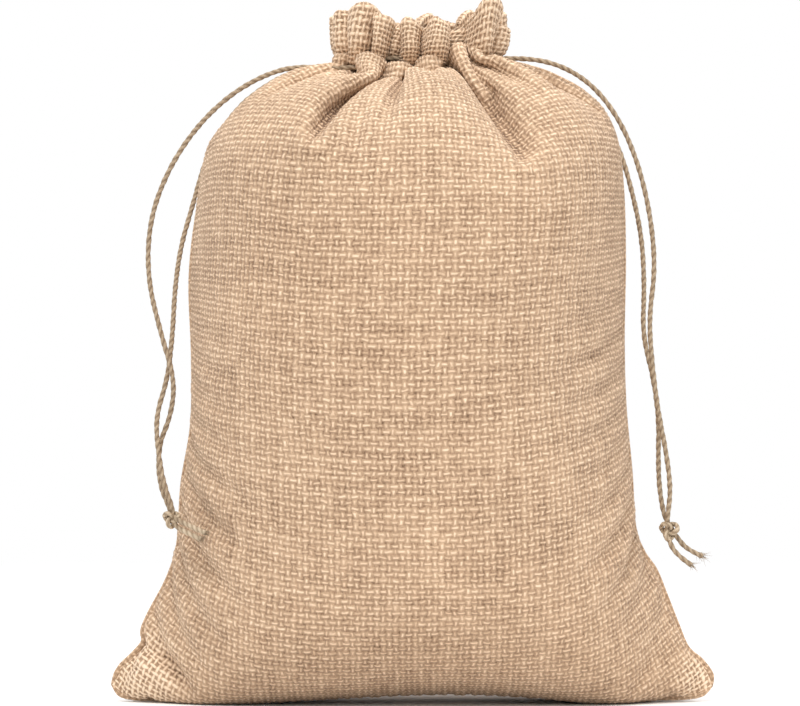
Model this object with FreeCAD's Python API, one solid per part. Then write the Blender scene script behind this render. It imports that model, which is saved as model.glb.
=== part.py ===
import FreeCAD, Part
import math
import os

# A drawstring pouch of plain-woven jute, made from two flat panels sewn together, filled and tied shut.
# Millimetres. X runs from ear to ear, -Y is the front, +Z is up. The origin is on the ground, under the middle.

# It measures 203 by 254 when it is laid flat and empty.

# Driving dimensions
CLOTH = 1.2                 # thickness of one panel, with the height of its threads
TOTAL_HEIGHT = 232.0
NECK_BASE = 206.0           # where the body ends and the gathered casing begins
CASING_FOOT = NECK_BASE
CASING_TOP = 214.5
GAP = 0.3                   # between bodies that move apart
NECK_HALF_WIDTH = 28.0
NECK_HALF_DEPTH = 14.5
THROAT_HALF_WIDTH = 17.0    # what the tied neck leaves open
THROAT_HALF_DEPTH = 6.0
FRILL_HALF_WIDTH = 31.0
FRILL_HALF_DEPTH = 19.0
TWINE = 1.7                 # diameter of the two-ply drawstrings
SEAM_ALLOWANCE = 8.0        # width of the sewn margin turned to the inside
SEAM_THICKNESS = 2.4        # two layers of cloth, pressed flat
SEAM_FOOT = 50.0            # above the corner ears, where the margin is loose inside
SEAM_HEAD = 193.0
THREAD = 0.8                # sewing thread of the hem rows
STITCH_RISE = 1.0           # of a row above the casing's lower edge
STITCH_MARGIN = 0.03        # of the half turn round the neck, left free at each end
STITCH_SPANS = 12
CHANNEL_PLAY = 0.6          # how much wider the casing channel is than its twine
LEFT_CHANNEL = 209.3        # heights of the two channels, one over the other
RIGHT_CHANNEL = 212.4
PLEATS = 16                 # round the whole neck
CASING_WAVE = 0.03          # height of the pleats, as a share of the neck
FRILL_WAVE = 0.09
THROAT_WAVE = 0.02
FRILL_THICKNESS = 7.0       # from the outermost fold to the innermost one

# The filled body: height, half width, half depth, and how pointed the section is at its two side seams.
# 0.5 is an ellipse. A larger figure draws the section out into the two flat corner ears at the bottom.
STATIONS = [
    (0.0, 80.0, 20.0, 1.30),
    (2.0, 97.0, 31.0, 1.40),
    (6.0, 99.5, 38.5, 1.45),
    (11.0, 97.5, 44.0, 1.40),
    (18.0, 92.0, 49.5, 1.25),
    (27.0, 88.0, 54.0, 1.05),
    (38.0, 83.0, 58.0, 0.80),
    (50.0, 77.5, 60.5, 0.62),
    (66.0, 75.0, 61.5, 0.52),
    (90.0, 72.0, 62.0, 0.50),
    (116.0, 71.0, 61.5, 0.50),
    (140.0, 72.5, 60.0, 0.50),
    (158.0, 72.3, 57.0, 0.50),
    (172.0, 70.5, 52.0, 0.50),
    (184.0, 67.0, 45.0, 0.50),
    (193.0, 61.5, 38.0, 0.50),
    (199.5, 54.0, 30.0, 0.50),
    (203.5, 43.0, 22.5, 0.50),
    (NECK_BASE, NECK_HALF_WIDTH, NECK_HALF_DEPTH, 0.50),
]
SECTION_STEPS = 14          # spans along half a section
EAR_FLATNESS = 14.0         # how far the hollow stops short of a fully pointed side
CHANNEL_DEPTH = 9.4         # from the seam plane to the twine, in the middle of a casing

# Routes of the drawstrings, from the casing's end to the knot. The front leg of each pair leaves the front
# casing, the back leg comes over the shoulder from the back casing, and the two twist round each other.
LEGS = {
    "left_front_leg": [
        (-29.7, -6.5, 209.3), (-37.0, -8.5, 211.0), (-48.0, -11.5, 209.2), (-60.0, -14.0, 202.4),
        (-71.5, -15.5, 191.0), (-80.5, -16.5, 176.0), (-85.6, -17.5, 158.5), (-86.2, -18.8, 140.0),
        (-81.6, -21.0, 121.5), (-77.4, -22.0, 106.5), (-79.2, -20.0, 95.0), (-84.0, -19.3, 85.0),
        (-84.2, -21.5, 73.0), (-80.6, -23.0, 64.9),
    ],
    "left_back_leg": [
        (-29.7, 6.5, 209.3), (-37.0, 11.0, 210.2), (-48.0, 17.5, 205.6), (-58.5, 22.0, 195.0),
        (-66.5, 23.5, 180.5), (-72.9, 18.7, 165.5), (-76.6, 8.5, 151.0), (-78.0, -3.0, 136.5),
        (-78.2, -12.5, 122.0), (-79.6, -17.6, 107.0), (-83.2, -22.0, 95.0), (-82.6, -23.4, 84.5),
        (-81.0, -25.0, 73.0), (-78.2, -25.0, 64.8),
    ],
    "right_front_leg": [
        (29.7, -6.5, 212.4), (38.0, -8.5, 212.6), (49.5, -10.5, 210.0), (60.0, -12.0, 203.2),
        (68.5, -13.0, 192.0), (74.6, -13.5, 177.5), (78.6, -13.5, 160.5), (80.2, -13.5, 143.0),
        (78.0, -14.0, 127.0), (79.0, -15.0, 112.0), (80.8, -15.8, 97.0), (83.6, -15.0, 83.0),
        (85.2, -14.2, 71.0), (84.2, -13.7, 61.9),
    ],
    "right_back_leg": [
        (29.7, 6.5, 212.4), (38.0, 11.0, 211.6), (49.5, 15.5, 206.5), (59.5, 18.0, 196.5),
        (67.6, 18.0, 184.0), (73.9, 13.0, 169.5), (76.8, 5.0, 153.5), (77.2, -2.5, 137.0),
        (76.2, -8.5, 121.5), (79.6, -11.6, 107.5), (81.4, -12.6, 93.5), (81.2, -11.6, 81.0),
        (81.6, -10.6, 71.0), (83.2, -10.6, 61.7),
    ],
    "left_front_tail": [(-76.6, -27.4, 61.4), (-72.2, -31.8, 59.7), (-66.4, -37.2, 57.6)],
    "left_back_tail": [(-77.4, -27.0, 58.2), (-73.6, -31.4, 55.8), (-69.2, -36.0, 54.2)],
    "right_front_tail": [(84.6, -13.4, 54.0), (86.8, -14.0, 49.4), (92.0, -14.6, 45.8)],
    "right_back_tail": [(87.2, -11.2, 55.2), (90.6, -10.6, 50.8), (95.8, -10.0, 48.6)],
}
LEFT_KNOT = (-79.2, -24.4, 60.8)
RIGHT_KNOT = (84.4, -12.2, 57.6)
KNOT_HALF_HEIGHT = 3.2
KNOT_RADIUS = 2.9


def section_edge(height, half_width, half_depth, pointed, side):
    """One half of a closed section: side -1 is the front half, from the left seam to the right one."""
    points = []
    for step in range(SECTION_STEPS + 1):
        angle = math.pi * (step / SECTION_STEPS - 0.5)
        depth = half_depth * max(math.cos(angle), 0.0) ** (2.0 * pointed)
        points.append(FreeCAD.Vector(half_width * math.sin(angle), side * depth, height))
    curve = Part.BSplineCurve()
    curve.interpolate(points)
    return curve.toShape()


def body_section(height, half_width, half_depth, pointed):
    front = section_edge(height, half_width, half_depth, pointed, -1)
    back = section_edge(height, half_width, half_depth, pointed, 1)
    return Part.Wire([front, back])


def body_solid(inset):
    """The filled body's outer form, or with an inset the hollow inside it, which runs out at the neck."""
    sections = []
    for height, half_width, half_depth, pointed in STATIONS:
        ear_width = EAR_FLATNESS * (pointed - 0.5) if inset else 0.0
        level = height + inset * (1.0 - 2.0 * height / NECK_BASE)
        sections.append(body_section(level, half_width - inset - ear_width, half_depth - inset, pointed))
    if inset:
        sections.append(body_section(NECK_BASE + 1.0, NECK_HALF_WIDTH - 7.0, NECK_HALF_DEPTH - 6.0, 0.5))
    return Part.makeLoft(sections, True, False)


def half_space(side):
    """Everything in front of (-1) or behind (1) the plane of the side seams."""
    size = 2.0 * TOTAL_HEIGHT
    return Part.makeBox(size, size, size, FreeCAD.Vector(-size / 2, -size if side < 0 else 0.0, -size / 4))


def gathered_edge(height, half_width, half_depth, wave, side, gap):
    """Half a ring of gathered cloth, seen from above: half an ellipse with its pleats as waves."""
    points = []
    count = PLEATS * 4
    for step in range(count + 1):
        angle = math.pi * step / count
        swell = 1.0 + wave * math.cos(PLEATS * angle)
        depth = gap + half_depth * swell * math.sin(angle)
        points.append(FreeCAD.Vector(half_width * swell * math.cos(angle), side * depth, height))
    curve = Part.BSplineCurve()
    curve.interpolate(points)
    return curve.toShape()


def gathered_section(height, outer, throat, wave, side, gap):
    """The closed outline of one gathered panel at one level, between its outside and the throat."""
    outside = gathered_edge(height, *outer, wave, side, gap)
    inside = gathered_edge(height, *throat, THROAT_WAVE, side, gap)
    right = Part.LineSegment(outside.valueAt(outside.FirstParameter), inside.valueAt(inside.FirstParameter))
    left = Part.LineSegment(inside.valueAt(inside.LastParameter), outside.valueAt(outside.LastParameter))
    return Part.Wire([outside, left.toShape(), inside, right.toShape()])


def casing(side):
    """One folded hem, drawn up round the neck, without the channels for its strings."""
    outer = (NECK_HALF_WIDTH, NECK_HALF_DEPTH)
    throat = (THROAT_HALF_WIDTH, THROAT_HALF_DEPTH)
    levels = (CASING_FOOT, CASING_TOP)
    sections = [gathered_section(level, outer, throat, CASING_WAVE, side, 0.0) for level in levels]
    return Part.makeLoft(sections, True, True)


def frill(side):
    """The edge that stands up above one casing, flaring outwards, with deeper pleats at the top."""
    outer = (NECK_HALF_WIDTH - 0.5, NECK_HALF_DEPTH - 0.5)
    throat = (THROAT_HALF_WIDTH, THROAT_HALF_DEPTH)
    outer_top = (FRILL_HALF_WIDTH, FRILL_HALF_DEPTH)
    throat_top = (FRILL_HALF_WIDTH - FRILL_THICKNESS, FRILL_HALF_DEPTH - FRILL_THICKNESS)
    sections = [
        gathered_section(CASING_TOP + GAP, outer, throat, CASING_WAVE, side, GAP / 2.0),
        gathered_section(TOTAL_HEIGHT, outer_top, throat_top, FRILL_WAVE, side, GAP / 2.0),
    ]
    return Part.makeLoft(sections, True, True)


def cord_tube(name, points, diameter):
    """A tube of straight runs joined by tangent arcs, each as large as its two runs allow."""
    places = [FreeCAD.Vector(*point) for point in points]
    edges = []
    radii = []
    start = places[0]
    for before, corner, after in zip(places, places[1:], places[2:]):
        way_in = (corner - before).normalize()
        way_out = (after - corner).normalize()
        trim = 0.45 * min((corner - before).Length, (after - corner).Length)
        half_turn = way_in.getAngle(way_out) / 2.0
        radius = trim / math.tan(half_turn)
        radii.append(radius)
        arc_start = corner - way_in * trim
        arc_end = corner + way_out * trim
        inward = (way_out - way_in).normalize()
        arc_middle = corner + inward * (radius / math.cos(half_turn) - radius)
        edges.append(Part.LineSegment(start, arc_start).toShape())
        edges.append(Part.Arc(arc_start, arc_middle, arc_end).toShape())
        start = arc_end
    edges.append(Part.LineSegment(start, places[-1]).toShape())
    path = Part.Wire(edges)
    profile = Part.Wire(Part.makeCircle(diameter / 2.0, places[0], places[1] - places[0]))
    tube = path.makePipeShell([profile], True, False)
    fill = tube.Volume / (math.pi * diameter ** 2 / 4.0 * path.Length)
    print(f"{name}: length {path.Length:.1f}, smallest radius {min(radii):.1f}, volume ratio {fill:.3f}")
    return tube


def knot(centre):
    """An overhand knot's outer form: a short bead, taller than it is thick."""
    stretch = FreeCAD.Matrix()
    stretch.scale(KNOT_RADIUS, KNOT_RADIUS, KNOT_HALF_HEIGHT)
    bead = Part.makeSphere(1.0).transformGeometry(stretch)
    bead.translate(FreeCAD.Vector(*centre))
    return bead


def channel_route(side, height):
    """A drawstring's run inside the casings: in at its own side, across the front, round, and back."""
    mouth = side * (NECK_HALF_WIDTH + 0.2)
    row = CHANNEL_DEPTH
    return [
        (mouth, -6.5, height), (side * 18.0, -row + 0.6, height), (side * 6.0, -row, height),
        (-side * 7.0, -row + 0.1, height), (-side * 18.0, -row + 1.6, height),
        (-side * 24.6, -4.0, height), (-side * 24.6, 4.0, height),
        (-side * 18.0, row - 1.6, height), (-side * 7.0, row - 0.1, height),
        (side * 6.0, row, height), (side * 18.0, row - 0.6, height), (mouth, 6.5, height),
    ]


def side_seam(side):
    """The sewn margin inside one side: a flat strip along the wall, from above the ear to the neck."""
    walls = [(height, half_width - CLOTH) for height, half_width, _, _ in STATIONS
             if SEAM_FOOT <= height <= SEAM_HEAD]
    outer = [FreeCAD.Vector(side * wall, -SEAM_THICKNESS / 2.0, height) for height, wall in walls]
    inner = [FreeCAD.Vector(side * (wall - SEAM_ALLOWANCE), -SEAM_THICKNESS / 2.0, height)
             for height, wall in reversed(walls)]
    outline = Part.makePolygon(outer + inner + outer[:1])
    strip = Part.Face(outline).extrude(FreeCAD.Vector(0.0, SEAM_THICKNESS, 0.0))
    return strip.common(body_solid(CLOTH))


def bottom_seam():
    """The sewn margin that stands up along the floor of the hollow, from ear to ear."""
    half_length = STATIONS[0][1] - 2.0 * SEAM_ALLOWANCE
    strip = Part.makeBox(2.0 * half_length, SEAM_THICKNESS, SEAM_ALLOWANCE,
                         FreeCAD.Vector(-half_length, -SEAM_THICKNESS / 2.0, CLOTH))
    return strip.common(body_solid(CLOTH))


def stitching(name, side):
    """The row of thread that closes the casing's lower edge, half way round the neck."""
    route = []
    for step in range(STITCH_SPANS + 1):
        angle = math.pi * (STITCH_MARGIN + (1.0 - 2.0 * STITCH_MARGIN) * step / STITCH_SPANS)
        route.append((NECK_HALF_WIDTH * math.cos(angle), side * NECK_HALF_DEPTH * math.sin(angle),
                      CASING_FOOT + STITCH_RISE))
    return cord_tube(name, route, THREAD)


def build():
    nodes = {}
    outer = body_solid(0.0)
    hollow = body_solid(CLOTH)
    shell = outer.cut(hollow)
    channels = []
    for name, side, height in (("left", -1, LEFT_CHANNEL), ("right", 1, RIGHT_CHANNEL)):
        route = channel_route(side, height)
        nodes[name + "_string_in_casing"] = cord_tube(name + "_string_in_casing", route, TWINE)
        channels.append(cord_tube(name + " channel", route, TWINE + CHANNEL_PLAY))
    for name, side in (("front", -1), ("back", 1)):
        thread = stitching(name + "_casing_stitching", side)
        nodes[name + "_panel"] = shell.common(half_space(side))
        nodes[name + "_casing"] = casing(side).cut(channels + [thread])
        nodes[name + "_frill"] = frill(side)
        nodes[name + "_casing_stitching"] = thread
    nodes["left_side_seam"] = side_seam(-1)
    nodes["right_side_seam"] = side_seam(1)
    nodes["bottom_seam"] = bottom_seam()
    for name, route in LEGS.items():
        nodes[name] = cord_tube(name, route, TWINE)
    nodes["left_knot"] = knot(LEFT_KNOT)
    nodes["right_knot"] = knot(RIGHT_KNOT)
    return nodes


def main():
    os.makedirs("parts", exist_ok=True)
    for name, shape in build().items():
        shape.exportStep(os.path.join("parts", name + ".step"))
        solids = len(shape.Solids)
        print(f"{name}: {solids} solid, valid {shape.isValid()}, {shape.Volume:.0f} mm3")


main()
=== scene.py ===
import bpy
import math
import numpy as np
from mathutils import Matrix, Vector


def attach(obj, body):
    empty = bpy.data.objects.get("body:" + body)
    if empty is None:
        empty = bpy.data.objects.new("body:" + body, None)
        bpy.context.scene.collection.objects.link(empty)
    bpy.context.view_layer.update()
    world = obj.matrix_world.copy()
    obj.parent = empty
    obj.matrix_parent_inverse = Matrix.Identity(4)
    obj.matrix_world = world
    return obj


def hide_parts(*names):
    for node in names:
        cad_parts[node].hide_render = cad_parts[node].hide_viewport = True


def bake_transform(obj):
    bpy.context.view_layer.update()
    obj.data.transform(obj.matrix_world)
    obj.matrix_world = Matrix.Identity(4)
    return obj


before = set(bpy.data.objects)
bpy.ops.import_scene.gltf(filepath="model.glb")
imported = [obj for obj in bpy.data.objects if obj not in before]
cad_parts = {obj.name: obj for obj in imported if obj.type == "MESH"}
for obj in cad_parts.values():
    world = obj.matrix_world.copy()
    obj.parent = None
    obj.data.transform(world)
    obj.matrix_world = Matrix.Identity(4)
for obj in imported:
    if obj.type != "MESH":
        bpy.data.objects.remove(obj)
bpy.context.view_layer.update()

# A drawstring pouch of plain-woven jute. Lengths are in millimetres unless they say metres.
MM = 0.001
FRONT, BACK = -1, 1  # which way each panel faces along Y

# The stage and the camera, in metres except the floor
FLOOR_RADIUS = 1000.0
ROOM_LIGHT = 0.66
LIGHTS = {  # place, size, and power in watts
    "key": ((-0.30, -1.05, 1.50), 0.7, 18.4),
    "fill": ((1.3, -1.0, 0.7), 0.9, 6.5),
    "top": ((0.0, 0.10, 1.3), 0.6, 8.5),
}
LIGHTS_AIM = (0.0, 0.0, 0.11)
VIEW_DISTANCE = 1.5
VIEW_WIDTH = 0.2648  # what the picture shows across, at the pouch
VIEW_AIM = (-0.0036, 0.0, 0.1154)
SENSOR = 36.0  # millimetres

# Cloth
FLAT_WIDTH = 203.0  # of one panel, laid flat
EASE = 1.015  # how far the filled pouch has stretched its cloth
BODY_LENGTH = 264.0  # along the middle of a panel, from the bottom seam to the neck
WARP_THREADS = 102  # across a panel
WEFT_THREADS = 140  # from the bottom seam to the neck
CASING_ROWS = 3  # threads of the body that belong to the casing
THREAD_STEPS = 4  # mesh steps to one thread
THREAD_PITCH = 2.0  # in the curl at the neck and in the seams' welts
LOOSE_THREADS = 12.0  # below the neck, over which the cloth loosens

# The solver: its grid, its steps, and the rounds of evening out in each
SOLVER_COLUMNS = 96
SOLVER_ROWS = 116
SOLVER_STEPS = 240
SOLVER_ROUNDS = 6
SPEED_KEPT = 0.96  # from one step to the next
STIFFNESS = {"across": 0.9, "along": 0.9, "skew": 0.12, "bend_across": 0.10, "bend_along": 0.10}
BEND_REACH = 1.99  # pitches between every second point of a nearly straight thread
START_SWELL = 56.0  # how far the grid bulges before the first step
START_JITTER = 0.15
CLOTH_WEIGHT = 0.004
SEAM_EASE = 0.16  # share of the width beside each seam where the cloth is eased in
SEAM_GAP = 0.5  # each panel keeps this far from the seams' plane
FLOOR_GAP = 0.7  # and this far above the floor

# The filling's push
FILL_PUSH = 0.020
FILL_TOP = 212.0  # it fades below this height, over FILL_FADE
FILL_FADE = 16.0
FILL_LEAST = 0.20
# Just under the neck: places across a panel, from -1 to 1, their half widths, and the push's gain or loss
SHOULDER_FILL = {
    FRONT: [(0.03, 0.18, 1.6), (0.37, 0.065, -3.0), (-0.34, 0.045, -0.5)],
    BACK: [(0.03, 0.18, 1.6), (-0.40, 0.05, -1.6)],
}

# The neck
NECK_CLOTH = 0.64  # share of the cloth's width in the folds that show at the neck
NECK_FROM = 0.78  # share of the body's height where the cloth starts to draw in
NECK_LEVEL = 211.5  # height of the string
NECK_HALF_DEPTH = 16.0
NECK_DOME = 2.5  # how much lower a fold's valleys are than its crest
NECK_BULB = (0.115, 0.17)  # of the pleats below and over the string: from 0.16 their valleys are closed
CURL = 3.0  # radius in which the pleats turn inwards over the string
NECK_TURN = 0.7  # their angle where the panel ends, and where the curl ends
CURL_TURN = 1.75

# The frill
FRILL_CLOTH = 0.86  # share of the cloth's width in its folds
FRILL_LEFT, FRILL_RIGHT = -27.0, 29.5
FRILL_ROWS = 17
FRILL_DOME = 2.6
FRILL_PINCH = 3.8  # how far the string draws in its foot, up to FRILL_PINCHED of its height
FRILL_PINCHED = 0.45
FRILL_BELLY = 1.2
FRILL_SPREAD = 3.2
FRILL_BULB = 0.18
FRILL_PITCH = 1.7  # its threads show closer together
FRILL_FOLD = 0.9  # radius of its folded top edge
# Ripples that grow towards the top: the axis, the size, and the turn from one grid column to the next
FRILL_RIPPLES = [(0, 1.0, 0.37), (1, 1.2, 0.23), (2, 0.8, 0.52), (0, 0.5, 0.83), (1, 0.6, 0.71),
                 (2, 0.5, 1.1)]

# The weave's relief
WEAVE_WAVE = 0.26  # how far a thread rises and dips at its crossings
WEAVE_ROUND = 0.42  # how round its section stands
WEAVE_GAP = 0.30  # depth of the gaps between threads
THREAD_SCATTER = 0.085  # how far crossings stand from their even places, in threads
HOLLOW_SHADE_ROUNDS = 8  # of evening out, which shows where the cloth lies in a hollow, where shade is painted
HOLLOW_SHADE_DEPTH = 2.2  # a hollow 1.15 times as deep as this gets the darkest painted shade

# Seam welts and the casings' stitches
WELT_HALF_WIDTH = 0.9
WELT_HALF_THICKNESS = 0.8
WELT_SIDES = 20
STITCH_LENGTH = 2.4
STITCH_SPACING = 3.8
STITCH_RADIUS = 0.24
STITCH_RINGS = 7
STITCH_SIDES = 8

# The side seams, from the ear's tip to the neck, and the bottom seam from ear to ear: x and height
LEFT_SEAM = [
    (-99.3, 5.6), (-96.4, 11.4), (-92.0, 15.8), (-88.7, 19.8), (-88.8, 23.8), (-86.4, 29.5), (-80.2, 41.3),
    (-76.8, 53.0), (-75.5, 72.0), (-72.3, 92.0), (-72.0, 114.0), (-72.8, 140.0), (-70.4, 162.0),
    (-66.2, 177.0), (-59.4, 190.4), (-50.6, 199.4), (-40.8, 205.8), (-28.0, 209.8),
]
RIGHT_SEAM = [
    (100.0, 5.2), (99.4, 9.2), (96.2, 13.6), (91.4, 18.0), (87.8, 26.4), (84.4, 35.0), (80.9, 43.5),
    (76.8, 49.6), (73.8, 58.0), (72.6, 76.0), (70.6, 98.0), (70.0, 120.0), (70.4, 148.0), (69.6, 172.0),
    (66.8, 187.0), (59.0, 200.0), (47.6, 207.0), (38.4, 210.2), (30.0, 212.0),
]
BOTTOM_SEAM = [
    (-99.3, 5.5), (-94.0, 1.6), (-78.0, 1.2), (-40.0, 2.6), (0.0, 3.6), (40.0, 2.8), (78.0, 1.3),
    (94.0, 1.8), (100.0, 5.0),
]

# Pleats of the body at the neck, left to right: where each ends, its share of the cloth, how far its crest
# stands back, and the height of its tip
FRONT_PLEATS = [
    (-19.5, 1.6, 0.3, 214.2), (-8.6, 0.85, -1.2, 214.0), (0.6, 0.95, -1.6, 210.6), (12.4, 1.42, -2.4, 212.8),
    (19.0, 0.82, -1.0, 217.0), (24.8, 0.66, 0.0, 217.8), (30.0, 1.1, 0.0, 215.4),
]
BACK_PLEATS = [
    (-20.0, 1.5, 0.3, 213.6), (-9.5, 1.0, -1.0, 214.0), (-1.0, 0.9, 0.0, 212.0), (10.0, 1.3, -1.4, 214.4),
    (19.0, 1.0, 0.0, 216.0), (30.0, 1.4, 0.0, 215.4),
]

# Folds of the frill, left to right: where each ends at the foot and at the top, its share of the cloth, how
# far its crest stands back, and the height of its top
FRONT_FRILL = [
    (-21.8, -22.0, 0.95, 1.6, 227.2), (-15.4, -12.6, 1.3, -1.6, 229.4), (-9.6, -7.4, 0.9, 0.2, 226.2),
    (-4.8, -3.8, 0.5, 5.8, 222.8), (3.4, 3.8, 1.1, -0.2, 223.4), (12.8, 14.6, 1.45, -2.4, 224.0),
    (19.4, 21.2, 0.6, 6.8, 220.4), (26.6, 31.4, 1.4, -2.6, 231.2), (29.0, 36.0, 0.75, 0.8, 221.4),
]
BACK_FRILL = [
    (-21.0, -20.0, 1.0, 0.5, 226.4), (-11.5, -12.0, 1.15, -0.8, 229.0), (-5.0, -4.4, 0.8, 1.0, 226.0),
    (0.5, 0.6, 0.6, 3.5, 224.6), (9.8, 10.4, 1.3, -1.0, 227.6), (17.0, 18.0, 0.9, 1.2, 225.0),
    (23.6, 25.0, 0.9, 0.0, 228.6), (29.0, 34.4, 1.1, 0.6, 228.0),
]

# The corners at the foot, which stay open: a point, how far the cloth is slackest, and where that ends
EARS = [((-95.0, 6.5), 13.0, 24.0), ((97.0, 7.5), 4.0, 12.0)]
EAR_LOOSE = 1.35
# Where the cloth lies smooth: a point as x and height, how far from it, and the rounds of smoothing
SMOOTH_SPOT = (81.0, 20.0)
SMOOTH_REACH = 15.0
SMOOTH_ROUNDS = 18
# Creases from a corner's neck into the panel: start and end as x and height, and depth
CREASES = {
    "front": [((-89.5, 20.5), (-72.0, 8.0), 2.4), ((92.5, 18.5), (82.0, 15.0), 0.5)],
    "back": [((-89.5, 20.5), (-76.0, 14.0), 1.8), ((92.5, 18.5), (78.0, 12.0), 1.4)],
}
CREASE_WIDTH = 3.0

# Twine
TWINE = 1.7  # diameter of the drawstrings
TWINE_STEP = 0.45  # from ring to ring of its mesh
TWINE_SIDES = 18
PLY_GROOVE = 0.28  # depth of the groove between the plies, as a share of the radius
TWIST_PITCH = 5.2  # of the two plies
FRAY_FIBRES = 46

# The strings' runs inside the casings
LEFT_CHANNEL = 209.3  # their heights
RIGHT_CHANNEL = 212.4
CHANNEL_MOUTH = 30.0  # just past the free strings' first points
CHANNEL_DEPTH = 9.4

# Routes of the free strings, as in the structure: each leg, the knot, and the tail
STRINGS = {
    "left_front": [
        (-29.7, -6.5, 209.3), (-37.0, -8.0, 210.0), (-48.0, -10.0, 207.0), (-60.0, -12.5, 199.8),
        (-71.0, -14.5, 188.8), (-80.0, -16.0, 174.6), (-85.6, -17.5, 158.5), (-86.2, -18.8, 140.0),
        (-81.6, -21.0, 121.5), (-77.0, -22.0, 106.5), (-78.4, -20.0, 95.0), (-82.6, -19.3, 85.0),
        (-82.2, -21.5, 73.0), (-78.8, -23.0, 64.9), (-77.4, -25.0, 62.0), (-75.8, -27.4, 61.2),
        (-71.8, -31.8, 59.4), (-66.2, -37.2, 57.2),
    ],
    "left_back": [
        (-29.7, 6.5, 209.3), (-37.0, 11.0, 210.2), (-48.0, 17.5, 205.6), (-59.6, 24.6, 197.0),
        (-68.8, 26.0, 181.6), (-72.9, 18.7, 165.5), (-76.6, 8.5, 151.0), (-78.0, -3.0, 136.5),
        (-78.2, -12.5, 122.0), (-79.6, -17.6, 107.0), (-83.2, -22.0, 95.0), (-82.6, -23.4, 84.5),
        (-80.6, -25.0, 73.0), (-77.6, -25.0, 64.8), (-77.6, -24.8, 61.0), (-76.4, -27.0, 59.0),
        (-72.8, -31.4, 57.2), (-67.8, -36.0, 55.2),
    ],
    "right_front": [
        (29.7, -6.5, 212.4), (38.0, -8.5, 212.6), (49.5, -10.5, 210.0), (60.0, -12.0, 203.2),
        (68.5, -13.0, 192.0), (74.6, -13.5, 177.5), (78.6, -13.5, 160.5), (80.2, -13.5, 143.0),
        (78.0, -14.0, 127.0), (79.0, -15.0, 112.0), (80.8, -15.8, 97.0), (83.6, -15.0, 83.0),
        (85.2, -14.2, 71.0), (84.2, -13.7, 61.9), (84.0, -12.8, 57.4), (84.6, -13.4, 54.0),
        (86.8, -14.0, 49.4), (92.0, -14.6, 45.8),
    ],
    "right_back": [
        (29.7, 6.5, 212.4), (38.0, 11.0, 211.6), (49.5, 15.5, 206.5), (60.8, 21.0, 199.0),
        (69.8, 20.8, 185.2), (73.9, 13.0, 169.5), (76.8, 5.0, 153.5), (77.2, -2.5, 137.0),
        (76.2, -8.5, 121.5), (79.6, -11.6, 107.5), (81.4, -12.6, 93.5), (81.2, -11.6, 81.0),
        (81.6, -10.6, 71.0), (83.2, -10.6, 61.7), (85.4, -11.6, 57.8), (87.2, -11.2, 55.2),
        (90.6, -10.6, 50.8), (95.8, -10.0, 48.6),
    ],
}
KNOTS = {"left": (-78.0, -24.6, 61.4), "right": (84.8, -12.2, 57.2)}
KNOT_SIZE = {"left": 1.12, "right": 1.32}
KNOT_PAINTED_LIGHT = 0.45  # painted light on the knots' twine, which lifts the shade the knots cast on themselves
TAIL_PALE = {"left": 0.6, "right": 0.1}
TAIL_FROM = 0.94  # share of a string's length where its tail begins

# Tone of the cloth, from 0, darkest, to 1: what the threads' ground has, and what each part adds. The
# crests' part is a painted highlight; the gaps', the open gaps' and the hollows' parts are painted shade
CLOTH_GROUND = 0.30
CLOTH_TONE = {"crest": 0.38, "gap": -0.10, "fibre": 1.15, "thread": 0.14, "slubs": 0.32, "patches": 0.18,
              "open_gap_shade": -0.28, "loose": 0.27, "hollow": -0.33}
CLOTH_COLOURS = [(0.0, (0.13, 0.070, 0.038)), (0.20, (0.36, 0.235, 0.145)), (0.42, (0.54, 0.375, 0.245)),
                 (0.70, (0.76, 0.570, 0.400)), (1.0, (0.90, 0.73, 0.55))]
THREAD_COLOURS = [(0.2, (0.42, 0.29, 0.18)), (0.8, (0.74, 0.57, 0.39))]
TWINE_COLOURS = [(0.15, (0.060, 0.036, 0.020)), (0.45, (0.205, 0.140, 0.088)), (0.75, (0.36, 0.27, 0.18)),
                 (1.0, (0.56, 0.45, 0.32))]
FOOT_SHADE = 0.45  # painted shade at the frill's foot, as a share of the darkest painted hollow shade


# ------ the stage

def make_stage():
    """A round pale floor in a white room, soft lights from above and in front, and the camera."""
    ring = [(FLOOR_RADIUS * math.cos(turn), FLOOR_RADIUS * math.sin(turn), 0.0)
            for turn in np.linspace(0.0, 2 * math.pi, 96, endpoint=False)]
    paint = new_material("floor_paint")
    Nodes(paint).give(Base_Color=(0.97, 0.97, 0.97, 1.0), Roughness=0.9)
    make_piece("floor", ring, [tuple(range(len(ring)))], paint, smooth=False)
    light_room()
    for name, (place, size, power) in LIGHTS.items():
        add_light(name, place, size, power)
    add_camera()


def light_room():
    """A white world, which lights the pouch a little less than it looks."""
    world = bpy.data.worlds.new("soft_room")
    world.use_nodes = True
    tree = world.node_tree
    seen = add_node(tree, "LightPath", "Is Camera Ray", {})
    strength = add_node(tree, "MapRange", "Result", {"Value": seen, "To Min": ROOM_LIGHT})
    feed(tree, tree.nodes["Background"].inputs["Color"], (1.0, 1.0, 1.0, 1.0))
    feed(tree, tree.nodes["Background"].inputs["Strength"], strength)
    bpy.context.scene.world = world
    bpy.context.scene.view_settings.view_transform = "Standard"


def add_light(name, place, size, power):
    data = bpy.data.lights.new(name, "AREA")
    data.size = size
    data.energy = power
    lamp = link(name, data)
    lamp.location = place
    lamp.rotation_euler = (Vector(LIGHTS_AIM) - lamp.location).to_track_quat("-Z", "Y").to_euler()


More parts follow.
